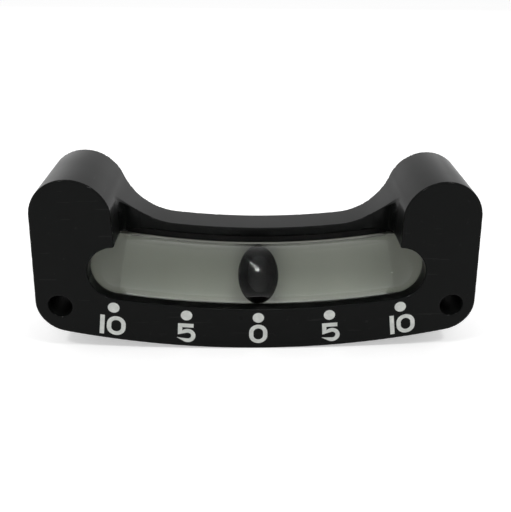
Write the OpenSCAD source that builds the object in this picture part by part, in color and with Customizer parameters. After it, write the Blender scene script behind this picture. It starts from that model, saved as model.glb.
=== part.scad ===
// Bank indicator: a curved glass tube with a ball in it, in a black case for a panel.
// X runs to the right, Z up, and Y backwards. The origin lies on the back face, midway
// between the two mounting holes. Depth is measured forwards from the back face.

/* [Scale arc] */
// Radius that the scale's dots lie on
dot_arc_r = 171; // [142:1:206]
// Drop of the middle dot below the mounting holes
dot_drop = 2.9; // [2:0.1:4]
// Distance of the last dot on each side from the middle
dot_reach = 29.694; // [27:0.001:31]

/* [Case] */
// Depth of the case from its back face to its front face
case_depth = 18.6; // [16.5:0.1:24]
// Distance of each lobe's centre from the middle
lobe_x = 35.95; // [35.5:0.05:40]
// Radius of the lobes' round tops
lobe_r = 7.85; // [7:0.05:9]
// Height of the lobes' centres
lobe_z = 19.25; // [18:0.05:26]
// Outward lean of the case's sides, in degrees
side_lean = 4.8; // [0:0.05:6]
// Thickness of the rail above the window
rail_t = 1.9; // [1.6:0.1:4]
// Radius of the hollow where the rail's top runs up into a lobe
valley_r = 13.2; // [6:0.1:14]
// Depth of the rail, which stops behind the lobes' front face
rail_depth = 7.1; // [6:0.1:8]
// Radius in the corners where the rail's front meets the lobes
cove_r = 6; // [1:0.1:6.5]
// How far the recess between the lobes cuts into their inner walls
recess_cut = 0.2; // [0.1:0.05:1]
// Height of the front strip below the window
strip_h = 9.7; // [8.5:0.05:14]
// Radius of the bottom corners
corner_r = 6.8; // [4:0.1:9]

/* [Window and tube] */
// Gap from the dots' centres to the window's lower edge
dot_gap = 2; // [1.5:0.1:3]
// Outer radius of the glass tube
tube_r = 6.3; // [5.2:0.05:6.5]
// How far the window's upper and lower edges lap over the tube
window_lip = 0.5; // [0.3:0.05:1]
// Thickness of the tube's wall
tube_wall = 1.75; // [1.2:0.05:2.1]
// Drop of the tube's middle line below the window's middle line
tube_drop = 0.8; // [0.4:0.1:1]
// Depth of the tube's middle line
tube_depth = 12; // [11.4:0.1:12.2]
// Clearance between the tube and its channel
tube_fit = 0.1; // [0.05:0.01:0.2]
// Gap between the ball and the bore of the tube
ball_gap = 0.28; // [0.26:0.01:0.6]
// Drop of the resting ball's centre below the tube's middle line
ball_drop = 0.2; // [0.1:0.01:0.25]

/* [Expansion chambers] */
// How much further out each chamber stands than its lobe's centre
chamber_out = 1.05; // [0.5:0.05:1.4]
// Outer radius of a chamber
chamber_r = 3.6; // [3:0.1:3.8]
// Thickness of a chamber's wall
chamber_wall = 0.9; // [0.6:0.05:1.2]
// Height of the centre of a chamber's round lower end
chamber_z = 13.6; // [13.4:0.1:14.2]
// Length of a chamber between the centres of its round ends
chamber_l = 3.6; // [2:0.1:4.5]
// Outer radius of the neck between the tube and a chamber
neck_r = 2.1; // [1.6:0.1:2.3]
// Radius of the neck's bore
neck_bore_r = 0.8; // [0.4:0.1:1]
// Thickness of the rubber boot round a chamber
boot_wall = 0.75; // [0.5:0.05:0.9]
// Height of a boot
boot_h = 7.5; // [5:0.1:8]

/* [Back] */
// Thickness of the back plate
plate_t = 1.6; // [1.2:0.1:2]
// Width of the case's rim round the back plate
rim_w = 0.9; // [0.7:0.05:1.2]
// Clearance round the back plate
plate_fit = 0.1; // [0.05:0.01:0.2]
// Thickness of the felt pad behind the bedding
pad_t = 1.55; // [1:0.05:2.5]
// Clearance of the bedding and the pad in the case's pocket
pocket_fit = 0.1; // [0.05:0.01:0.2]
// Height of the sealing strip under the rail
seal_h = 1.25; // [0.5:0.05:1.5]
// Depth of the sealing strip, from front to back
seal_w = 2; // [1:0.1:3]

/* [Screws] */
// Distance between the two mounting holes
mount_spacing = 81; // [79:0.5:83]
// Radius of the mounting holes
mount_r = 2.38; // [2:0.01:2.6]
// Radius of a plate screw's shank
screw_r = 0.76; // [0.6:0.01:0.9]
// Radius of a plate screw's head
screw_head_r = 1.45; // [1.2:0.01:1.6]
// Height of a plate screw's countersunk head
screw_head_h = 0.9; // [0.6:0.05:1]
// Length of a plate screw
screw_l = 5.5; // [4:0.1:8]
// Clearance of a plate screw in the plate
screw_fit = 0.08; // [0.05:0.01:0.12]

/* [Marks] */
// Radius of a scale dot
dot_r = 1.2; // [0.8:0.05:1.25]
// Distance from the dots' centres down to the numerals' centres
numeral_drop = 4.3; // [4.1:0.05:4.5]
// Height of a numeral
numeral_h = 4.65; // [3.6:0.05:4.8]
// Share of its place's angle on the scale that a numeral is turned by
numeral_turn = 0.85; // [0.6:0.05:1]
// Width of a zero
zero_w = 3.9; // [3:0.05:4]
// Width of a numeral's stroke
stroke_w = 0.95; // [0.7:0.05:1]
// Depth of the marks' recesses in the front face
mark_depth = 0.3; // [0.2:0.05:0.6]
// Clearance round a mark's filling
mark_fit = 0.02; // [0.01:0.01:0.05]

/* [Hidden] */

// Facets of small rounds and of the long arcs
$fn = 72;
long_fn = 720;
// Overrun of a cut past the face it opens
over = 1;
// Size of a block that is larger than the whole case
huge = 200;
// Amount by which a round of the outline passes its tangent
blend = 0.005;

// Height of the centre that the tube, the window and the scale are all curved about
arc_z = dot_arc_r - dot_drop;
// Angle of the last dots, where the window's round ends are centred too
end_angle = asin(dot_reach / dot_arc_r);
// The pocket's straight sweep stops this angle short of its round ends' middles,
// so that the end rings never meet on a tangent
pocket_stop = 0.1;
// The glass domes are centred this far inside the ends they close, and are this much smaller
cap_angle = end_angle - 0.1;
cap_rise = 0.2;
cap_step = 0.05;

// Radii about the arc's centre: the window, the tube's middle line, the pocket and the case
window_half = tube_r - window_lip;
window_low_r = dot_arc_r - dot_gap;
window_high_r = window_low_r - 2 * window_half;
window_mid_r = window_low_r - window_half;
tube_arc_r = window_mid_r + tube_drop;
channel_r = tube_r + tube_fit;
pocket_high_r = tube_arc_r - channel_r;
pocket_low_r = tube_arc_r + channel_r;
rail_top_r = pocket_high_r - rail_t;
bottom_r = window_low_r + strip_h;
numeral_arc_r = dot_arc_r + numeral_drop;
bore_r = tube_r - tube_wall;
ball_r = bore_r - ball_gap;
ball_arc_r = tube_arc_r + ball_drop;

// The recess between the lobes ends a little inside their upright inner walls
recess_x = lobe_x - lobe_r + recess_cut;
// Its cut begins inside the window, below the rail and above the front strip
recess_z = arc_z - window_mid_r;

// Centre of the hollow between the rail's top and a lobe, from its two tangent distances
valley_to_lobe = valley_r + lobe_r;
valley_to_arc = rail_top_r - valley_r;
lobe_to_arc = norm([lobe_x, lobe_z - arc_z]);
valley_along = (valley_to_arc ^ 2 - valley_to_lobe ^ 2 + lobe_to_arc ^ 2) / (2 * lobe_to_arc);
valley_aside = sqrt(valley_to_arc ^ 2 - valley_along ^ 2);
lobe_dir = [lobe_x, lobe_z - arc_z] / lobe_to_arc;
valley_c = [0, arc_z] + lobe_dir * valley_along + [lobe_dir[1], -lobe_dir[0]] * valley_aside;

// The side's outward normal, and its distance from the origin
side_n = [cos(side_lean), sin(side_lean)];
side_reach = lobe_x * side_n[0] + lobe_z * side_n[1] + lobe_r;
// Centre of a bottom corner: corner_r inside both the side and the bottom arc
corner_foot = side_reach - corner_r - arc_z * side_n[1];
corner_along = sqrt((bottom_r - corner_r) ^ 2 - corner_foot ^ 2);
corner_c = [0, arc_z] + side_n * corner_foot + [side_n[1], -side_n[0]] * corner_along;

// Centre of the tube's round end, and the neck from there up to the chamber's round end
end_c = [tube_arc_r * sin(end_angle), arc_z - tube_arc_r * cos(end_angle)];
chamber_x = lobe_x + chamber_out;
neck_line = [chamber_x, chamber_z] - end_c;
neck_rise = atan2(neck_line[1], neck_line[0]);

// The boot and its pocket in the lobe
boot_r = chamber_r + boot_wall;
boot_pocket_r = boot_r + pocket_fit / 2;
boot_crown = 1;
boot_top = chamber_z + chamber_l + chamber_r + boot_crown;
boot_pocket_top = boot_top + pocket_fit;
boot_pocket_low = chamber_z - chamber_r - 2 * pocket_fit;
neck_channel_r = neck_r + 3 * pocket_fit;
glass_fit = tube_fit / 2;

// Depths of the window's cut and of the layers behind the tube
window_back = tube_depth - 2;
pad_front = plate_t + pad_t;
bedding_front = tube_depth - 2.5;
mark_back = case_depth - mark_depth;

// Plate screws: one above each chamber, one below each window end, one under the middle
screw_top = [lobe_x, (boot_pocket_top + lobe_z + lobe_r - rim_w) / 2];
screw_edge = 4;
screw_in = 6.5;
screw_low = [mount_spacing / 2 - screw_in, -4.2];
screw_mid = [0, arc_z - bottom_r + screw_edge];
// Play of a screw in its hole in the case and below its end, and the sink of its head
thread_fit = 0.02;
screw_end_gap = 0.5;
head_sink = 0.05;
screw_places = [
  [-screw_top[0], screw_top[1]], screw_top, [-screw_low[0], screw_low[1]], screw_low, screw_mid
];

// The zero stands this much nearer to its dot than the other numerals do
zero_raise = 0.3;
// Centres of the strokes in a ten
ten_bar_x = -2.03;
ten_zero_x = 0.85;
// The ends of the five's top bar, the low corner of its stem, its bowl, and its tail's tip
five_bar = [-1.68, 1.6];
five_stem_low = -0.5;
five_bowl = [0.4, -0.65];
five_bowl_r = numeral_h / 2 + five_bowl[1];
five_tip = [-1.9, -1.2];
// Amount by which a shrunk five's sharp tip draws back for each unit that its edges do
tip_draw = 3.5;

// Points down one side of an outline, joined by their mirror images
function mirrored(points) =
  concat(points, [for (i = [len(points) - 1:-1:0]) [-points[i][0], points[i][1]]]);

// Places a flat drawing of X and Z at a depth, and gives it thickness forwards
module forward(back, front) {
  translate([0, -back, 0]) rotate([90, 0, 0]) linear_extrude(front - back) children();
}

// Sweeps a drawing of radius and depth about a centre, from one angle to another.
// The angle is counted from straight below the centre, positive to the right.
module sweep(centre, from, to) {
  translate([centre[0], 0, centre[1]])
    rotate([90, 0, 0])
      rotate([0, 0, from - 90])
        rotate_extrude(angle = to - from) children();
}

// Sweeps a drawing along the scale's arc, and beyond its ends by an extra angle
module along_arc(extra = 0) {
  sweep([0, arc_z], -end_angle - extra, end_angle + extra, $fn = long_fn) children();
}

// Rounds off both ends of a tube, each dome a hair smaller than the tube it stands on.
// Its pole points into the neck, which leaves no pole on the dome itself.
module tube_ends(radius) {
  both_sides()
    translate([tube_arc_r * sin(cap_angle), -tube_depth, arc_z - tube_arc_r * cos(cap_angle)])
      rotate([0, 90 - neck_rise, 0]) sphere(radius - cap_step);
}

// Turns half a drawing into a round end of the pocket at each end of the arc
module round_ends() {
  both_sides() translate([end_c[0], 0, end_c[1]]) rotate([90, 0, 0]) rotate_extrude() children();
}

module both_sides() {
  children();
  mirror([1, 0, 0]) children();
}

// A band about the arc's centre with round ends at the end angle
module arc_band(inner, outer) {
  middle = (inner + outer) / 2;
  half = (outer - inner) / 2;
  reach = outer * 2;
  stop = end_angle - pocket_stop;
  intersection() {
    translate([0, arc_z])
      difference() {
        circle(outer, $fn = long_fn);
        circle(inner, $fn = long_fn);
      }
    polygon([
      [0, arc_z],
      [reach * sin(stop), arc_z - reach * cos(stop)],
      [-reach * sin(stop), arc_z - reach * cos(stop)]
    ]);
  }
  for (side = [-1, 1])
    translate([side * middle * sin(end_angle), arc_z - middle * cos(end_angle)]) circle(half);
}

// The case seen from the front, drawn in by an inset on every side.
// Each round runs a hair past its tangent, so that it crosses the next line cleanly.
module case_outline(inset = 0) {
  side_at = side_n * (side_reach - inset - blend);
  along_side = [-side_n[1], side_n[0]];
  side_low = side_at - along_side * (side_reach / 2);
  lobe_c = [lobe_x, lobe_z];
  side_top = lobe_c + side_n * (lobe_r - inset - blend);
  foot_dir = (corner_c - [0, arc_z]) / (bottom_r - corner_r);
  wedge_r = corner_r + over;
  valley_dir = (valley_c - [0, arc_z]) / valley_to_arc;
  sector_r = 2 * rail_top_r;
  difference() {
    intersection() {
      translate([0, arc_z]) circle(bottom_r - inset, $fn = long_fn);
      polygon(mirrored([side_low, side_top, lobe_c, valley_c]));
    }
    intersection() {
      translate([0, arc_z]) circle(rail_top_r + inset, $fn = long_fn);
      polygon(mirrored([[0, arc_z] + valley_dir * sector_r, [0, arc_z]]));
    }
    for (side = [-1, 1]) {
      translate([side * valley_c[0], valley_c[1]]) circle(valley_r + inset + blend);
      difference() {
        polygon([
          for (corner = [[0, 0], side_n, side_n + foot_dir, foot_dir])
            [side * (corner_c + corner * wedge_r)[0], (corner_c + corner * wedge_r)[1]]
        ]);
        translate([side * corner_c[0], corner_c[1]]) circle(corner_r - inset + blend);
      }
    }
  }
  for (side = [-1, 1]) translate([side * lobe_x, lobe_z]) circle(lobe_r - inset);
}

// Extrudes a drawing of offset and depth along each neck's middle line
module necks() {
  both_sides()
    translate([end_c[0], 0, end_c[1]])
      rotate([0, -neck_rise, 0])
        rotate([180, -90, 0]) linear_extrude(norm(neck_line)) children();
}

// The right half of a disc
module half_disc(radius) {
  intersection() {
    circle(radius);
    translate([0, -radius]) square([radius, 2 * radius]);
  }
}

// A slot seen in section, with a round front
module round_front(radius, front, back) {
  translate([0, front]) circle(radius);
  translate([-radius, back]) square([2 * radius, front - back]);
}

module half_round_front(radius, front, back) {
  translate([0, front]) half_disc(radius);
  translate([0, back]) square([radius, front - back]);
}

// A glass chamber: a short cylinder with a round top, and below it a dome like the tube's
module chamber(radius) {
  translate([chamber_x, -tube_depth, chamber_z]) {
    rotate_extrude() {
      square([radius, chamber_l]);
      translate([0, chamber_l]) half_disc(radius);
    }
    translate([0, 0, cap_rise]) rotate([0, 90 - neck_rise, 0]) sphere(radius - cap_step);
  }
}

// The outside of all the glass, or its bore
module tube_shape(radius, round_neck_r, round_chamber_r) {
  along_arc() translate([tube_arc_r, tube_depth]) circle(radius);
  tube_ends(radius);
  necks() translate([0, tube_depth]) circle(round_neck_r);
  both_sides() chamber(round_chamber_r);
}

// The block round a chamber, seen from above
module boot_plan(radius, back) {
  translate([chamber_x, -tube_depth]) circle(radius);
  translate([chamber_x - radius, -tube_depth]) square([2 * radius, tube_depth - back]);
}

// An upright oval of two half circles with a straight stretch between them
module oval(radius, half_straight) {
  for (end = [-1, 1]) translate([0, end * half_straight]) circle(radius);
  square([2 * radius, 2 * half_straight], center = true);
}

module digit_zero(grow) {
  half_straight = (numeral_h - zero_w) / 2;
  difference() {
    oval(zero_w / 2 + grow, half_straight);
    oval(zero_w / 2 - stroke_w - grow, half_straight);
  }
}

module digit_one(grow) {
  square([stroke_w + 2 * grow, numeral_h + 2 * grow], center = true);
}

// The point where a line from an outside point meets a circle, just inside its tangent.
// A side of 1 takes the lower tangent of a point that lies to the left, and -1 the upper.
function touch(point, centre, radius, side) =
  let (
    line = point - centre,
    near = radius - blend,
    angle = atan2(line[1], line[0]) + side * acos(near / norm(line))
  )
  centre + near * [cos(angle), sin(angle)];

// Lengthens the line from one point to another, past the second, to the left of the numeral
function past(from, to) = to + (to - from) * (numeral_h / norm(to - from));

module digit_five(grow) {
  top = numeral_h / 2;
  hole_r = five_bowl_r - stroke_w - grow;
  corner = [five_bar[0], five_stem_low - grow];
  tip = five_tip + [-tip_draw, 1] * grow;
  high = touch(corner, five_bowl, hole_r, -1);
  low = touch(tip, five_bowl, hole_r, 1);
  difference() {
    union() {
      translate([five_bar[0] - grow, top - stroke_w - grow])
        square([five_bar[1] - five_bar[0] + 2 * grow, stroke_w + 2 * grow]);
      translate([five_bar[0] - grow, five_bowl[1]])
        square([stroke_w + 2 * grow, top - five_bowl[1] + grow]);
      translate(five_bowl) circle(five_bowl_r + grow);
      polygon([tip, touch(tip, five_bowl, five_bowl_r + grow, 1), five_bowl]);
    }
    translate(five_bowl) circle(hole_r);
    polygon([five_bowl, high, past(high, corner), past(low, tip), low]);
  }
}

module numeral(value, grow) {
  if (value == 0) digit_zero(grow);
  if (value == 5) digit_five(grow);
  if (value == 10) {
    translate([ten_bar_x, 0]) digit_one(grow);
    translate([ten_zero_x, 0]) digit_zero(grow);
  }
}

// Puts a small drawing at an angle on the scale, turned by a share of that angle
module on_scale(angle, radius, turn = 1) {
  translate([radius * sin(angle), arc_z - radius * cos(angle)]) rotate(angle * turn) children();
}

// Steps along the scale run from -2 to 2: ten at each end, five between, and zero
module dot_mark(step, grow) {
  on_scale(step * end_angle / 2, dot_arc_r) circle(dot_r + grow);
}

module numeral_mark(step, grow) {
  on_scale(step * end_angle / 2, numeral_arc_r - (step == 0 ? zero_raise : 0), numeral_turn)
    numeral(abs(step) * 5, grow);
}

module mark_recesses() {
  for (step = [-2:2]) {
    dot_mark(step, 0);
    numeral_mark(step, 0);
  }
}

module dot_fill(step) {
  color("#c8cac6") forward(mark_back, case_depth) dot_mark(step, -mark_fit);
}

module numeral_fill(step) {
  color("#c2c4c0") forward(mark_back, case_depth) numeral_mark(step, -mark_fit);
}

module mount_holes() {
  for (side = [-1, 1])
    translate([side * mount_spacing / 2, over, 0])
      rotate([90, 0, 0]) cylinder(h = case_depth + 2 * over, r = mount_r);
}

// The gap between the lobes in front of the rail, with a cove in each corner
module recess_plan() {
  difference() {
    translate([-recess_x, -huge - rail_depth]) square([2 * recess_x, huge]);
    for (side = [0, 1])
      mirror([side, 0])
        translate([recess_x - cove_r, -rail_depth - cove_r])
          difference() {
            square(cove_r);
            circle(cove_r);
          }
  }
}

// The window, and behind it the pocket for the tube, its necks and its chambers
module case_cuts() {
  translate([0, 0, recess_z]) linear_extrude(huge) recess_plan();
  forward(window_back, case_depth + over) arc_band(window_high_r, window_low_r);
  along_arc(-pocket_stop) translate([tube_arc_r, 0]) round_front(channel_r, tube_depth, -over);
  round_ends() half_round_front(channel_r, tube_depth, -over);
  necks()
    translate([-neck_channel_r, -over])
      square([2 * neck_channel_r, tube_depth + neck_channel_r + over]);
  both_sides()
    translate([0, 0, boot_pocket_low])
      linear_extrude(boot_pocket_top - boot_pocket_low) boot_plan(boot_pocket_r, -over);
  forward(-over, plate_t) case_outline(rim_w);
  mount_holes();
  for (place = screw_places)
    translate([place[0], over, place[1]])
      rotate([90, 0, 0]) cylinder(h = screw_l + over + screw_end_gap, r = screw_r + thread_fit);
}

module housing() {
  color("#121413")
    difference() {
      forward(0, case_depth) case_outline();
      union() {
        case_cuts();
      }
      forward(mark_back, case_depth + over) mark_recesses();
    }
}

module back_plate() {
  color("#1c1e1d")
    difference() {
      forward(0, plate_t) case_outline(rim_w + plate_fit);
      mount_holes();
      for (place = screw_places)
        translate([place[0], 0, place[1]])
          rotate([90, 0, 0]) {
            translate([0, 0, -over]) cylinder(h = plate_t + 2 * over, r = screw_r + screw_fit);
            translate([0, 0, -over])
              cylinder(h = over + head_sink, r = screw_head_r + screw_fit);
            cylinder(
              h = screw_head_h + head_sink,
              r1 = screw_head_r + screw_fit,
              r2 = screw_r + screw_fit
            );
          }
    }
}

module plate_screw() {
  slot_w = 0.4;
  slot_depth = 0.4;
  rotate([90, 0, 0])
    difference() {
      union() {
        cylinder(h = screw_l, r = screw_r);
        translate([0, 0, head_sink])
          cylinder(h = screw_head_h, r1 = screw_head_r, r2 = screw_r);
      }
      translate([0, 0, slot_depth / 2])
        cube([3 * screw_head_r, slot_w, slot_depth + 0.1], center = true);
    }
}

module back_plate_screws() {
  color("#8d8f8c") for (place = screw_places) translate([place[0], 0, place[1]]) plate_screw();
}

module sight_tube() {
  color("#cfd8d2")
    difference() {
      tube_shape(tube_r, neck_r, chamber_r);
      tube_shape(bore_r, neck_bore_r, chamber_r - chamber_wall);
    }
}

module ball() {
  color("#141615") translate([0, -tube_depth, arc_z - ball_arc_r]) sphere(ball_r);
}

// The pocket's outline with clearance, for what fills it
module pocket_filling() {
  arc_band(pocket_high_r + pocket_fit, pocket_low_r - pocket_fit);
}

// Fills the pocket behind the tube, and is cut back behind the sealing strip
module tube_bedding() {
  seal_back = rail_depth - seal_w - pocket_fit;
  color("#d9dad2")
    difference() {
      forward(pad_front, bedding_front) pocket_filling();
      tube_shape(tube_r + glass_fit, neck_r + glass_fit, chamber_r + glass_fit);
      along_arc(1)
        translate([pocket_high_r - over, seal_back])
          square([over + seal_h + 2 * pocket_fit, tube_depth]);
    }
}

module rear_pad() {
  color("#6f6a60")
    forward(plate_t, pad_front) pocket_filling();
}

module upper_seal() {
  seal_top_r = pocket_high_r + pocket_fit / 2;
  color("#0d0e0d")
    along_arc() translate([seal_top_r, rail_depth - seal_w]) square([seal_h, seal_w]);
}

// A rubber boot over the right chamber; the left one is its mirror image
module boot() {
  color("#1a1b1a")
    difference() {
      translate([0, 0, boot_top - boot_h]) linear_extrude(boot_h) boot_plan(boot_r, plate_t);
      chamber(chamber_r + glass_fit);
      translate([chamber_x, -tube_depth, 0]) cylinder(h = chamber_z, r = chamber_r + glass_fit);
    }
}

module left_boot() {
  mirror([1, 0, 0]) boot();
}

module right_boot() {
  boot();
}

housing();
back_plate();
back_plate_screws();
sight_tube();
ball();
tube_bedding();
rear_pad();
upper_seal();
left_boot();
right_boot();
dot_fill(-2);  // dot_left_10
dot_fill(-1);  // dot_left_5
dot_fill(0);  // dot_zero
dot_fill(1);  // dot_right_5
dot_fill(2);  // dot_right_10
numeral_fill(-2);  // numeral_left_10
numeral_fill(-1);  // numeral_left_5
numeral_fill(0);  // numeral_zero
numeral_fill(1);  // numeral_right_5
numeral_fill(2);  // numeral_right_10
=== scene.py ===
"""Looks for the bank indicator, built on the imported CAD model.

The case, the glass tube and the ball are smooth meshes taken from distance fields that use
the CAD model's own sizes. All sizes here are in millimetres, and depth is measured forwards
from the back face, so that depth is minus Y.
"""

import math

import bpy
import numpy as np
from mathutils import Matrix, Vector


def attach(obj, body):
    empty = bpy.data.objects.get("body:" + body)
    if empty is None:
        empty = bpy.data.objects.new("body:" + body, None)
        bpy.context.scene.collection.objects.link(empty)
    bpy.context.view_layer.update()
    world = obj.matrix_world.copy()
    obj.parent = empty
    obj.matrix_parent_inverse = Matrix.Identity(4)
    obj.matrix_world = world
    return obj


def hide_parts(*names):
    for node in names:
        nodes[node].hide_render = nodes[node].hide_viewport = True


MM = 0.001

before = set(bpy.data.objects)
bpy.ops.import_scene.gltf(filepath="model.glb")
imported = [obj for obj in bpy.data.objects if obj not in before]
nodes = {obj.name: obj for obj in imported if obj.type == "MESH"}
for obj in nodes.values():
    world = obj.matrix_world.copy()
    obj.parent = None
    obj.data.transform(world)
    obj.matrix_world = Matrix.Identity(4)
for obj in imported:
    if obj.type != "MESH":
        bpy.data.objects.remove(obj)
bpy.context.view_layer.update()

# Sizes of the case, as in part.scad
ARC_Z = 168.1
DOT_ARC_R = 171
DOT_REACH = 29.694
END_ANGLE = math.asin(DOT_REACH / DOT_ARC_R)
CASE_DEPTH = 18.6
LOBE = (35.95, 19.25)
LOBE_R = 7.85
SIDE_LEAN = math.radians(4.8)
VALLEY_R = 13.2
RAIL_DEPTH = 7.1
COVE_R = 6.0
CORNER_R = 6.8
WINDOW_HALF = 5.8
WINDOW_LOW_R = 169.0
WINDOW_MID_R = WINDOW_LOW_R - WINDOW_HALF
TUBE_R = 6.3
TUBE_WALL = 1.75
TUBE_DROP = 0.8
TUBE_ARC_R = WINDOW_MID_R + TUBE_DROP
TUBE_DEPTH = 12.0
CHANNEL_GAP = 0.1
CHANNEL_R = TUBE_R + CHANNEL_GAP
RAIL_T = 1.9
RAIL_TOP_R = TUBE_ARC_R - CHANNEL_R - RAIL_T
STRIP_H = 9.7
BOTTOM_R = WINDOW_LOW_R + STRIP_H
RECESS_CUT = 0.2
RECESS_X = LOBE[0] - LOBE_R + RECESS_CUT
RECESS_Z = ARC_Z - WINDOW_MID_R
PLATE_T = 1.6
RIM_W = 0.9
MOUNT_X = 40.5
MOUNT_R = 2.38
CHAMBER = (37.0, 13.6)
CHAMBER_R = 3.6
CHAMBER_L = 3.6
CHAMBER_WALL = 0.9
NECK_R = 2.1
NECK_BORE_R = 0.8
NECK_GAP = 0.3
BOOT_R = 4.4
BOOT_LOW = 9.8
BOOT_TOP = 21.9
BALL_R = 4.27
BALL_DROP = 0.2
BALL_ARC_R = TUBE_ARC_R + BALL_DROP

# The marks stand this much proud of the case's front face
MARK_PROUD = 0.04
FRONT = CASE_DEPTH - MARK_PROUD

# Rounds on the edges of the case, and the fillets where the tube's parts meet
FRONT_ROUND = 0.28
BACK_ROUND = 0.1
RECESS_ROUND = 0.22
WINDOW_ROUND = 0.35
CHANNEL_ROUND = 0.2
HOLE_ROUND = 0.3
TUBE_FILLET = 0.8

# How far behind the tube's middle the window's cut goes, inside the tube's channel
WINDOW_PAST = 2

SIDE_N = (math.cos(SIDE_LEAN), math.sin(SIDE_LEAN))
SIDE_REACH = LOBE[0] * SIDE_N[0] + LOBE[1] * SIDE_N[1] + LOBE_R
END = (TUBE_ARC_R * math.sin(END_ANGLE), ARC_Z - TUBE_ARC_R * math.cos(END_ANGLE))


def hollow_centre():
    """Centre of the round hollow between the rail's top and a lobe."""
    to_lobe = VALLEY_R + LOBE_R
    to_arc = RAIL_TOP_R - VALLEY_R
    between = math.hypot(LOBE[0], LOBE[1] - ARC_Z)
    along = (to_arc**2 - to_lobe**2 + between**2) / (2 * between)
    aside = math.sqrt(to_arc**2 - along**2)
    ux, uz = LOBE[0] / between, (LOBE[1] - ARC_Z) / between
    return ux * along + uz * aside, ARC_Z + uz * along - ux * aside


def corner_centre():
    """Centre of a bottom corner's round."""
    foot = SIDE_REACH - CORNER_R - ARC_Z * SIDE_N[1]
    along = math.sqrt((BOTTOM_R - CORNER_R) ** 2 - foot**2)
    return SIDE_N[0] * foot + SIDE_N[1] * along, ARC_Z + SIDE_N[1] * foot - SIDE_N[0] * along


HOLLOW = hollow_centre()
CORNER = corner_centre()


def angle_of(dx, dz):
    return math.atan2(dz, dx)


def outline_pieces():
    """The right half of the case's outline as arcs: centre, radius, first and last angle, and
    1 where the case lies inside the arc or -1 where it lies outside it."""
    to_corner = angle_of(CORNER[0], CORNER[1] - ARC_Z)
    to_hollow = angle_of(HOLLOW[0], HOLLOW[1] - ARC_Z)
    lobe_from_hollow = angle_of(LOBE[0] - HOLLOW[0], LOBE[1] - HOLLOW[1])
    side = angle_of(*SIDE_N)
    down = -math.pi / 2
    return [
        ((0.0, ARC_Z), BOTTOM_R, down - 0.05, to_corner, 1),
        (CORNER, CORNER_R, to_corner, side, 1),
        (LOBE, LOBE_R, side, lobe_from_hollow + math.pi, 1),
        (HOLLOW, VALLEY_R, to_hollow, lobe_from_hollow, -1),
        ((0.0, ARC_Z), RAIL_TOP_R, down - 0.05, to_hollow, -1),
    ]


PIECES = outline_pieces()


def outline(x, z):
    """Distance outside the case's outline, seen from the front, negative inside it."""
    x = np.abs(x)
    best = x * SIDE_N[0] + z * SIDE_N[1] - SIDE_REACH
    along = -x * SIDE_N[1] + z * SIDE_N[0]
    low = -CORNER[0] * SIDE_N[1] + CORNER[1] * SIDE_N[0]
    high = -LOBE[0] * SIDE_N[1] + LOBE[1] * SIDE_N[0]
    best = np.where((along > low) & (along < high), best, 1e3)
    for centre, radius, first, last, sense in PIECES:
        dx, dz = x - centre[0], z - centre[1]
        middle = (first + last) / 2
        off = np.abs((np.arctan2(dz, dx) - middle + math.pi) % (2 * math.pi) - math.pi)
        value = sense * (np.hypot(dx, dz) - radius)
        take = (off <= abs(last - first) / 2) & (np.abs(value) < np.abs(best))
        best = np.where(take, value, best)
    return best


def off_arc(x, z, radius):
    """Distance from an arc about the scale's centre that ends at the end angles."""
    x = np.abs(x)
    inside = np.abs(np.hypot(x, ARC_Z - z) - radius)
    ex, ez = radius * math.sin(END_ANGLE), ARC_Z - radius * math.cos(END_ANGLE)
    return np.where(x < (ARC_Z - z) * math.tan(END_ANGLE), inside, np.hypot(x - ex, z - ez))


def off_line(x, z, first, last):
    """Distance from a line between two points, and from its mirror image."""
    x = np.abs(x)
    dx, dz = last[0] - first[0], last[1] - first[1]
    share = ((x - first[0]) * dx + (z - first[1]) * dz) / (dx * dx + dz * dz)
    share = np.clip(share, 0, 1)
    return np.hypot(x - first[0] - share * dx, z - first[1] - share * dz)


def both(a, b, edge):
    """Inside both shapes, with the edge between them rounded."""
    rounded = np.hypot(np.maximum(a + edge, 0), np.maximum(b + edge, 0))
    return np.minimum(-edge, np.maximum(a, b)) + rounded


def either(a, b, fillet):
    """Inside either shape, with a fillet between them."""
    share = np.clip(0.5 + 0.5 * (b - a) / fillet, 0, 1)
    return b + (a - b) * share - fillet * share * (1 - share)


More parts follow.
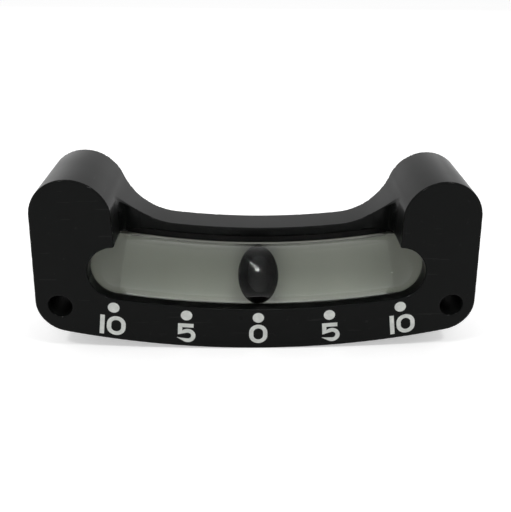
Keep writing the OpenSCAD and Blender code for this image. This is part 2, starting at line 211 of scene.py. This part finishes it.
def case_field(x, depth, z):
    shape = both(outline(x, z), depth - FRONT, FRONT_ROUND)
    shape = both(shape, -depth, BACK_ROUND)
    # The recess in front of the rail, with a cove up each of its inner corners
    u, v = np.abs(x) - RECESS_X + COVE_R, RAIL_DEPTH - depth + COVE_R
    recess = np.hypot(np.maximum(u, 0), np.maximum(v, 0)) + np.minimum(np.maximum(u, v), 0)
    recess = recess - COVE_R
    recess = np.maximum(recess, RECESS_Z - z)
    shape = both(shape, -recess, RECESS_ROUND)
    window = off_arc(x, z, WINDOW_MID_R) - WINDOW_HALF
    window = np.maximum(window, TUBE_DEPTH - WINDOW_PAST - depth)
    shape = both(shape, -window, WINDOW_ROUND)
    # The pocket for the tube is open to the back
    ahead = np.maximum(depth - TUBE_DEPTH, 0)
    channel = np.hypot(off_arc(x, z, TUBE_ARC_R), ahead) - CHANNEL_R
    shape = both(shape, -channel, CHANNEL_ROUND)
    neck = np.hypot(off_line(x, z, END, CHAMBER), ahead) - NECK_R - NECK_GAP
    shape = np.maximum(shape, -neck)
    beside = np.abs(x) - CHAMBER[0]
    above = np.abs(z - (BOOT_LOW + BOOT_TOP) / 2) - (BOOT_TOP - BOOT_LOW) / 2
    boot = np.maximum(np.hypot(beside, ahead) - BOOT_R, above)
    shape = np.maximum(shape, -boot)
    rebate = np.maximum(outline(x, z) + RIM_W, depth - PLATE_T)
    shape = np.maximum(shape, -rebate)
    hole = np.hypot(np.abs(x) - MOUNT_X, z) - MOUNT_R
    return both(shape, -hole, HOLE_ROUND)


def glass_field(x, depth, z, tube, neck, chamber):
    ahead = depth - TUBE_DEPTH
    body = np.hypot(off_arc(x, z, TUBE_ARC_R), ahead) - tube
    link = np.hypot(off_line(x, z, END, CHAMBER), ahead) - neck
    top = (CHAMBER[0], CHAMBER[1] + CHAMBER_L)
    bulb = np.hypot(off_line(x, z, CHAMBER, top), ahead) - chamber
    return either(either(body, link, TUBE_FILLET), bulb, TUBE_FILLET)


def tube_outside(x, depth, z):
    return glass_field(x, depth, z, TUBE_R, NECK_R, CHAMBER_R)


def tube_bore(x, depth, z):
    return glass_field(x, depth, z, TUBE_R - TUBE_WALL, NECK_BORE_R, CHAMBER_R - CHAMBER_WALL)


def slopes(field, points, step):
    """The field's gradient at points, one row each."""
    rows = np.empty_like(points)
    for axis in range(3):
        ahead, behind = points.copy(), points.copy()
        ahead[:, axis] += step
        behind[:, axis] -= step
        rows[:, axis] = (field(*ahead.T) - field(*behind.T)) / (2 * step)
    return rows


def skin(field, low, high, pitch):
    """Points and four-cornered faces on a field's zero surface, in X, depth and Z."""
    axes = [np.arange(a, b + pitch, pitch) for a, b in zip(low, high)]
    value = field(axes[0][:, None, None], axes[1][None, :, None], axes[2][None, None, :])
    value = np.broadcast_to(value, [len(a) for a in axes]).astype(np.float64)
    cells = [n - 1 for n in value.shape]
    total = np.zeros(cells + [3])
    count = np.zeros(cells)
    crossings = []
    for axis in range(3):
        first = np.take(value, range(value.shape[axis] - 1), axis)
        second = np.take(value, range(1, value.shape[axis]), axis)
        cross = (first < 0) != (second < 0)
        share = np.where(cross, first / np.where(cross, first - second, 1), 0)
        place = np.zeros(cross.shape + (3,))
        for other in range(3):
            shape = [1, 1, 1]
            shape[other] = cross.shape[other]
            line = axes[other][: cross.shape[other]].reshape(shape)
            place[..., other] = line + (share * pitch if other == axis else 0)
        place *= cross[..., None]
        sides = [other for other in range(3) if other != axis]
        for shift_a in (0, 1):
            for shift_b in (0, 1):
                cut = [slice(None)] * 3
                cut[sides[0]] = slice(shift_a, shift_a + cells[sides[0]])
                cut[sides[1]] = slice(shift_b, shift_b + cells[sides[1]])
                total += place[tuple(cut)]
                count += cross[tuple(cut)]
        crossings.append((cross, first < 0))
    used = count > 0
    index = np.full(cells, -1)
    index[used] = np.arange(used.sum())
    points = total[used] / count[used][:, None]
    faces = []
    for axis, (cross, inside) in enumerate(crossings):
        sides = [(axis + 1) % 3, (axis + 2) % 3]
        where = np.argwhere(cross)
        keep = (where[:, sides] > 0).all(1) & (where[:, sides] < np.array(cells)[sides]).all(1)
        where = where[keep]
        corners = []
        for step_a, step_b in ((-1, -1), (0, -1), (0, 0), (-1, 0)):
            at = where.copy()
            at[:, sides[0]] += step_a
            at[:, sides[1]] += step_b
            corners.append(index[tuple(at.T)])
        quads = np.stack(corners, 1)
        flip = ~inside[tuple(where.T)]
        quads[flip] = quads[flip][:, ::-1]
        faces.append(quads)
    faces = np.concatenate(faces)
    for _ in range(4):
        slope = slopes(field, points, 0.01)
        size = np.maximum((slope**2).sum(1), 0.25)
        move = field(*points.T) / size
        points -= np.clip(move, -0.5 * pitch, 0.5 * pitch)[:, None] * slope
    return points, faces


def make_mesh(name, points, faces, normals):
    """A smooth mesh in metres from points in X, depth and Z."""
    points = points * (MM, -MM, MM)
    normals = normals * (1, -1, 1)
    # Turning depth into Y turns every face round, so their corners are taken backwards
    mesh = bpy.data.meshes.new(name)
    mesh.from_pydata(points.tolist(), [], faces[:, ::-1].tolist())
    mesh.validate()
    mesh.shade_smooth()
    lengths = np.linalg.norm(normals, axis=1)
    normals = normals / np.maximum(lengths, 1e-9)[:, None]
    mesh.normals_split_custom_set_from_vertices(normals.tolist())
    piece = bpy.data.objects.new(name, mesh)
    bpy.context.scene.collection.objects.link(piece)
    return piece


def skinned(name, field, low, high, pitch, blur):
    points, faces = skin(field, low, high, pitch)
    return make_mesh(name, points, faces, slopes(field, points, blur))


def stands_for(piece, node, body):
    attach(piece, body)
    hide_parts(node)


# Material making
class Nodes:
    """The nodes of a world or of a new material, made by name and joined by sockets."""

    def __init__(self, owner):
        kind = "World"
        if isinstance(owner, str):
            owner = bpy.data.materials.new(owner)
            kind = "Material"
        self.owner = owner
        self.owner.use_nodes = True
        self.tree = self.owner.node_tree
        self.tree.nodes.clear()
        self.output = self.tree.nodes.new("ShaderNodeOutput" + kind)

    def add(self, kind, **values):
        node = self.tree.nodes.new("ShaderNode" + kind)
        for key, value in values.items():
            if hasattr(node, key):
                setattr(node, key, value)
            else:
                node.inputs[key.replace("_", " ")].default_value = value
        return node

    def join(self, source, target):
        self.tree.links.new(source, target)

    def place(self):
        """Where a point is on the object, in metres."""
        return self.add("TexCoord").outputs["Object"]

    def noise(self, scale, detail=3.0, roughness=0.5, stretch=None):
        where = self.place()
        if stretch:
            mapping = self.add("Mapping")
            mapping.inputs["Scale"].default_value = stretch
            self.join(where, mapping.inputs["Vector"])
            where = mapping.outputs["Vector"]
        noise = self.add("TexNoise")
        noise.inputs["Scale"].default_value = scale
        noise.inputs["Detail"].default_value = detail
        noise.inputs["Roughness"].default_value = roughness
        self.join(where, noise.inputs["Vector"])
        return noise.outputs["Fac"]

    def ramp(self, source, stops):
        """Turns a number into a colour or a grey, through stops of (place, colour)."""
        ramp = self.add("ValToRGB")
        elements = ramp.color_ramp.elements
        while len(elements) < len(stops):
            elements.new(0.5)
        for element, (at, colour) in zip(elements, stops):
            element.position = at
            if not isinstance(colour, tuple):
                colour = (colour, colour, colour)
            element.color = (*colour, 1)
        self.join(source, ramp.inputs["Fac"])
        return ramp.outputs["Color"]

    def mix(self, share, first, second):
        mix = self.add("Mix", data_type="RGBA")
        for value, socket in ((share, 0), (first, 6), (second, 7)):
            if isinstance(value, bpy.types.NodeSocket):
                self.join(value, mix.inputs[socket])
            elif socket:
                mix.inputs[socket].default_value = (*value, 1)
            else:
                mix.inputs[socket].default_value = value
        return mix.outputs[2]

    def background_rays(self):
        """1 for the rays that show the background: seen, reflected or through glass."""
        path = self.add("LightPath").outputs
        seen = self.maths("MAXIMUM", path["Is Camera Ray"], path["Is Glossy Ray"])
        return self.maths("MAXIMUM", seen, path["Is Transmission Ray"])

    def maths(self, operation, first, second=0.0):
        node = self.add("Math", operation=operation)
        for value, socket in ((first, 0), (second, 1)):
            if isinstance(value, bpy.types.NodeSocket):
                self.join(value, node.inputs[socket])
            else:
                node.inputs[socket].default_value = value
        return node.outputs[0]

    def bump(self, height, strength, distance):
        bump = self.add("Bump")
        bump.inputs["Strength"].default_value = strength
        bump.inputs["Distance"].default_value = distance * MM
        self.join(height, bump.inputs["Height"])
        return bump.outputs["Normal"]

    def surface(self, colour, roughness, normal=None, **values):
        shader = self.add("BsdfPrincipled")
        for key, value in values.items():
            shader.inputs[key.replace("_", " ")].default_value = value
        for value, name in ((colour, "Base Color"), (roughness, "Roughness"), (normal, "Normal")):
            if value is None:
                continue
            if isinstance(value, bpy.types.NodeSocket):
                self.join(value, shader.inputs[name])
            else:
                shader.inputs[name].default_value = value
        self.join(shader.outputs[0], self.output.inputs["Surface"])
        return self.owner


def case_paint(name, tone, specular):
    """Satin black, faintly mottled, with worn edges and a few fine scratches."""
    n = Nodes(name)
    mottle = n.noise(260, 5, 0.6)
    broad = n.noise(60, 3, 0.5)
    colour = n.mix(mottle, tuple(0.75 * c for c in tone), tuple(1.25 * c for c in tone))
    dust = n.ramp(n.noise(900, 2, 0.7), [(0.66, 0.0), (0.78, 1.0)])
    colour = n.mix(n.maths("MULTIPLY", dust, 0.25), colour, (0.03, 0.03, 0.029))
    scratch = n.ramp(n.noise(120, 2, 0.4, (1, 1, 14)), [(0.70, 0.0), (0.72, 1.0)])
    colour = n.mix(n.maths("MULTIPLY", scratch, 0.15), colour, (0.05, 0.05, 0.048))
    rough = n.ramp(broad, [(0.3, 0.27), (0.7, 0.36)])
    # The rounds and coves, which face neither along the depth nor across it, are polished
    facing = n.add("SeparateXYZ")
    n.join(n.add("NewGeometry").outputs["Normal"], facing.inputs[0])
    across = n.maths("ABSOLUTE", facing.outputs["Y"])
    polish = n.ramp(across, [(0.12, 0.0), (0.3, 1.0), (0.85, 1.0), (0.97, 0.0)])
    rough = n.mix(polish, rough, (0.14, 0.14, 0.14))
    grain = n.noise(2600, 2, 0.5)
    return n.surface(colour, rough, n.bump(grain, 0.12, 0.01), Specular_IOR_Level=specular)


def marking():
    n = Nodes("mark_filling")
    wear = n.noise(700, 4, 0.6)
    colour = n.ramp(wear, [(0.3, (0.6, 0.62, 0.59)), (0.7, (0.8, 0.82, 0.78))])
    brushed = n.noise(500, 3, 0.6, (1, 1, 8))
    return n.surface(colour, 0.55, n.bump(brushed, 0.3, 0.03), Specular_IOR_Level=0.35)


def glass():
    n = Nodes("tube_glass")
    clear = (0.97, 0.985, 0.975, 1)
    faint = (0.03, 0.03, 0.03, 1)
    # The coat takes the place of most of the glass's own mirror, and shows the thin lamps
    return n.surface(
        clear, 0.0, None, IOR=1.47, Transmission_Weight=1.0, Specular_Tint=faint,
        Coat_Weight=0.15, Coat_Roughness=0.02
    )


def bore_glass():
    n = Nodes("tube_bore")
    return n.surface((0.985, 0.99, 0.97, 1), 0.0, None, IOR=1.02, Transmission_Weight=1.0)


def ball_finish():
    n = Nodes("ball_black")
    polish = n.noise(90, 2, 0.5)
    colour = n.ramp(polish, [(0.3, (0.003, 0.0033, 0.0034)), (0.7, (0.0045, 0.0048, 0.005))])
    rough = n.ramp(polish, [(0.3, 0.03), (0.7, 0.05)])
    return n.surface(colour, rough, None, IOR=1.22)


def bedding():
    n = Nodes("bedding_white")
    speck = n.noise(800, 5, 0.65)
    cloud = n.ramp(n.noise(70, 3, 0.5), [(0.3, (0.27, 0.277, 0.245)), (0.7, (0.31, 0.317, 0.283))])
    colour = n.mix(n.maths("MULTIPLY", speck, 0.12), cloud, (0.2, 0.2, 0.175))
    return n.surface(colour, 0.8, n.bump(speck, 0.1, 0.02), Specular_IOR_Level=0.3)


def felt():
    n = Nodes("felt_grey")
    fibre = n.noise(1500, 6, 0.75)
    colour = n.ramp(fibre, [(0.3, (0.13, 0.12, 0.105)), (0.7, (0.24, 0.22, 0.19))])
    return n.surface(colour, 0.95, n.bump(fibre, 0.8, 0.15), Sheen_Weight=0.3)


def rubber(name, tone):
    n = Nodes(name)
    bloom = n.noise(300, 4, 0.6)
    colour = n.ramp(bloom, [(0.35, (tone, tone, tone)), (0.75, (2 * tone, 2 * tone, 1.9 * tone))])
    return n.surface(colour, 0.7, n.bump(n.noise(3000, 2), 0.3, 0.02), Specular_IOR_Level=0.12)


def steel():
    n = Nodes("screw_steel")
    grain = n.noise(900, 4, 0.6, (1, 1, 6))
    colour = n.ramp(grain, [(0.3, (0.33, 0.33, 0.32)), (0.7, (0.5, 0.5, 0.48))])
    rough = n.ramp(n.noise(700, 3), [(0.3, 0.28), (0.7, 0.45)])
    return n.surface(colour, rough, n.bump(grain, 0.2, 0.01), Metallic=1.0)


def give(piece, *materials):
    piece.data.materials.clear()
    for material in materials:
        piece.data.materials.append(material)


case_black = case_paint("case_black", (0.0036, 0.004, 0.0038), 0.075)
plate_black = case_paint("plate_black", (0.012, 0.0125, 0.012), 0.3)
mark_white = marking()

# The grids that the meshes are taken from, a little larger than each shape
CASE_PITCH = 0.3
TUBE_PITCH = 0.35
BALL_PITCH = 0.2
CASE_GRID = (-46.1, -0.61, -11.35), (46.1, 19.3, 28.2)
TUBE_GRID = (-41.6, 5.0, -3.3), (41.6, 19.1, 21.8)
BORE_GRID = (-41.0, 7.0, -1.3), (41.0, 17.2, 21.2)

# How far apart a field is measured for a normal: wider on the case, where it has creases
CASE_BLUR = 0.05
FINE_BLUR = 0.01

# The case, with moulded rounds on its edges
case = skinned("case_shell", case_field, *CASE_GRID, CASE_PITCH, CASE_BLUR)
give(case, case_black)
stands_for(case, "housing", "case")

# The glass tube: the outside, then the bore, whose faces look into the bore
outer_points, outer_faces = skin(tube_outside, *TUBE_GRID, TUBE_PITCH)
bore_points, bore_faces = skin(tube_bore, *BORE_GRID, TUBE_PITCH)
points = np.concatenate([outer_points, bore_points])
faces = np.concatenate([outer_faces, bore_faces[:, ::-1] + len(outer_points)])
outer_normals = slopes(tube_outside, outer_points, FINE_BLUR)
bore_normals = -slopes(tube_bore, bore_points, FINE_BLUR)
normals = np.concatenate([outer_normals, bore_normals])
tube = make_mesh("glass_tube", points, faces, normals)
give(tube, glass(), bore_glass())
for polygon in tube.data.polygons[len(outer_faces):]:
    polygon.material_index = 1
stands_for(tube, "sight_tube", "case")


def ball_field(x, depth, z):
    return np.sqrt(x**2 + (depth - TUBE_DEPTH) ** 2 + (z - ARC_Z + BALL_ARC_R) ** 2) - BALL_R


BALL_Z = ARC_Z - BALL_ARC_R
BALL_LOW = (-4.7, TUBE_DEPTH - 4.6, BALL_Z - 4.65)
BALL_HIGH = (4.7, TUBE_DEPTH + 4.6, BALL_Z + 4.65)
ball = skinned("ball_smooth", ball_field, BALL_LOW, BALL_HIGH, BALL_PITCH, FINE_BLUR)
give(ball, ball_finish())
stands_for(ball, "ball", "ball")

give(nodes["back_plate"], plate_black)
give(nodes["back_plate_screws"], steel())
give(nodes["tube_bedding"], bedding())
give(nodes["rear_pad"], felt())
give(nodes["upper_seal"], rubber("seal_rubber", 0.004))
boot_rubber = rubber("boot_rubber", 0.012)
give(nodes["left_boot"], boot_rubber)
give(nodes["right_boot"], boot_rubber)
for name, node in nodes.items():
    if name.startswith(("dot_", "numeral_")):
        give(node, mark_white)

# Stage
FLOOR_Z = ARC_Z - BOTTOM_R
FLOOR_REACH = 1.5
FLOOR_TONE = 0.85
FLOOR_GLOW = 0.45


def floor():
    """A pale floor that keeps its shadow, and glows a little where it is seen."""
    mesh = bpy.data.meshes.new("floor")
    corners = [
        (x * FLOOR_REACH, y * FLOOR_REACH, FLOOR_Z * MM)
        for x, y in ((-1, -1), (1, -1), (1, 1), (-1, 1))
    ]
    mesh.from_pydata(corners, [], [(0, 1, 2, 3)])
    piece = bpy.data.objects.new("floor", mesh)
    bpy.context.scene.collection.objects.link(piece)
    n = Nodes("floor_white")
    shade = n.add("BsdfDiffuse")
    shade.inputs["Color"].default_value = (FLOOR_TONE, FLOOR_TONE, FLOOR_TONE, 1)
    glow = n.add("Emission")
    glow.inputs["Strength"].default_value = FLOOR_GLOW
    lit = n.add("AddShader")
    n.join(shade.outputs[0], lit.inputs[0])
    n.join(glow.outputs[0], lit.inputs[1])
    pick = n.add("MixShader")
    n.join(n.background_rays(), pick.inputs[0])
    n.join(shade.outputs[0], pick.inputs[1])
    n.join(lit.outputs[0], pick.inputs[2])
    n.join(pick.outputs[0], n.output.inputs["Surface"])
    give(piece, n.owner)


floor()


def sky():
    """White as a background, and for lighting pale behind and above and dim in front."""
    world = bpy.data.worlds.new("studio")
    bpy.context.scene.world = world
    n = Nodes(world)
    place = n.add("TexCoord").outputs["Generated"]
    parts = n.add("SeparateXYZ")
    n.join(place, parts.inputs[0])
    spread = n.add("MapRange")
    spread.inputs["From Min"].default_value = -1.0
    n.join(parts.outputs["Y"], spread.inputs["Value"])
    glow = n.ramp(spread.outputs[0], [(0.0, 0.3), (0.4, 0.32), (0.62, 0.8), (1.0, 1.0)])
    room = n.add("Background")
    n.join(glow, room.inputs["Color"])
    white = n.add("Background", Color=(1, 1, 1, 1))
    pick = n.add("MixShader")
    n.join(n.background_rays(), pick.inputs[0])
    n.join(room.outputs[0], pick.inputs[1])
    n.join(white.outputs[0], pick.inputs[2])
    n.join(pick.outputs[0], n.output.inputs["Surface"])


sky()


def lamp(name, place, target, wide, high, watts):
    """A lamp that faces its target, round if it is as wide as it is high."""
    data = bpy.data.lights.new(name, "AREA")
    data.shape = "ELLIPSE" if wide == high else "RECTANGLE"
    data.size = wide * MM
    data.size_y = high * MM
    data.energy = watts
    light = bpy.data.objects.new(name, data)
    bpy.context.scene.collection.objects.link(light)
    light.location = Vector(place) * MM
    away = Vector(place) - Vector(target)
    light.rotation_euler = away.to_track_quat("Z", "Y").to_euler()
    light.visible_camera = False


lamp("soft_behind", (-40, 520, 125), (0, 0, 0), 620, 210, 0.22)
for side in (-1, 1):
    lamp("small_front", (side * 210, -210, 405), (0, 0, 0), 56, 56, 0.5)
# Two hair-thin lamps, which the glass before the ball mirrors as glints
lamp("thin_high", (1, -81, 144), (-1.3, -16.4, 8.6), 0.6, 19, 0.006)
lamp("thin_low", (4, -235, 214), (0, -17.1, 7.8), 0.7, 42, 0.015)

# Camera, with its focal length and its shift in pixels of an image this wide
IMAGE_W = 511
FOCAL_PIXELS = 671.373
SHIFT_PIXELS = (-25.065, 40.721)
RAISE = math.radians(29.904)
TURN = math.radians(-3.087)
ROLL = math.radians(1.394)
CAMERA_PLACE = (-1.90, -138.173, 71.074)
camera_data = bpy.data.cameras.new("camera")
camera = bpy.data.objects.new("camera", camera_data)
bpy.context.scene.collection.objects.link(camera)
bpy.context.scene.camera = camera
camera_data.sensor_fit = "HORIZONTAL"
camera_data.sensor_width = 36
camera_data.lens = FOCAL_PIXELS * camera_data.sensor_width / IMAGE_W
camera_data.shift_x = SHIFT_PIXELS[0] / IMAGE_W
camera_data.shift_y = SHIFT_PIXELS[1] / IMAGE_W
camera_data.clip_start = 0.01
camera_data.clip_end = 20
level = math.cos(RAISE)
back = Vector((math.sin(TURN) * level, -math.cos(TURN) * level, math.sin(RAISE)))
right = (-back).cross(Vector((0, 0, 1))).normalized()
up = right.cross(-back)
right_rolled = math.cos(ROLL) * right + math.sin(ROLL) * up
up_rolled = -math.sin(ROLL) * right + math.cos(ROLL) * up
facing = Matrix((right_rolled, up_rolled, back)).transposed().to_4x4()
camera.matrix_world = Matrix.Translation(Vector(CAMERA_PLACE) * MM) @ facing

bpy.context.scene.view_settings.view_transform = "Standard"
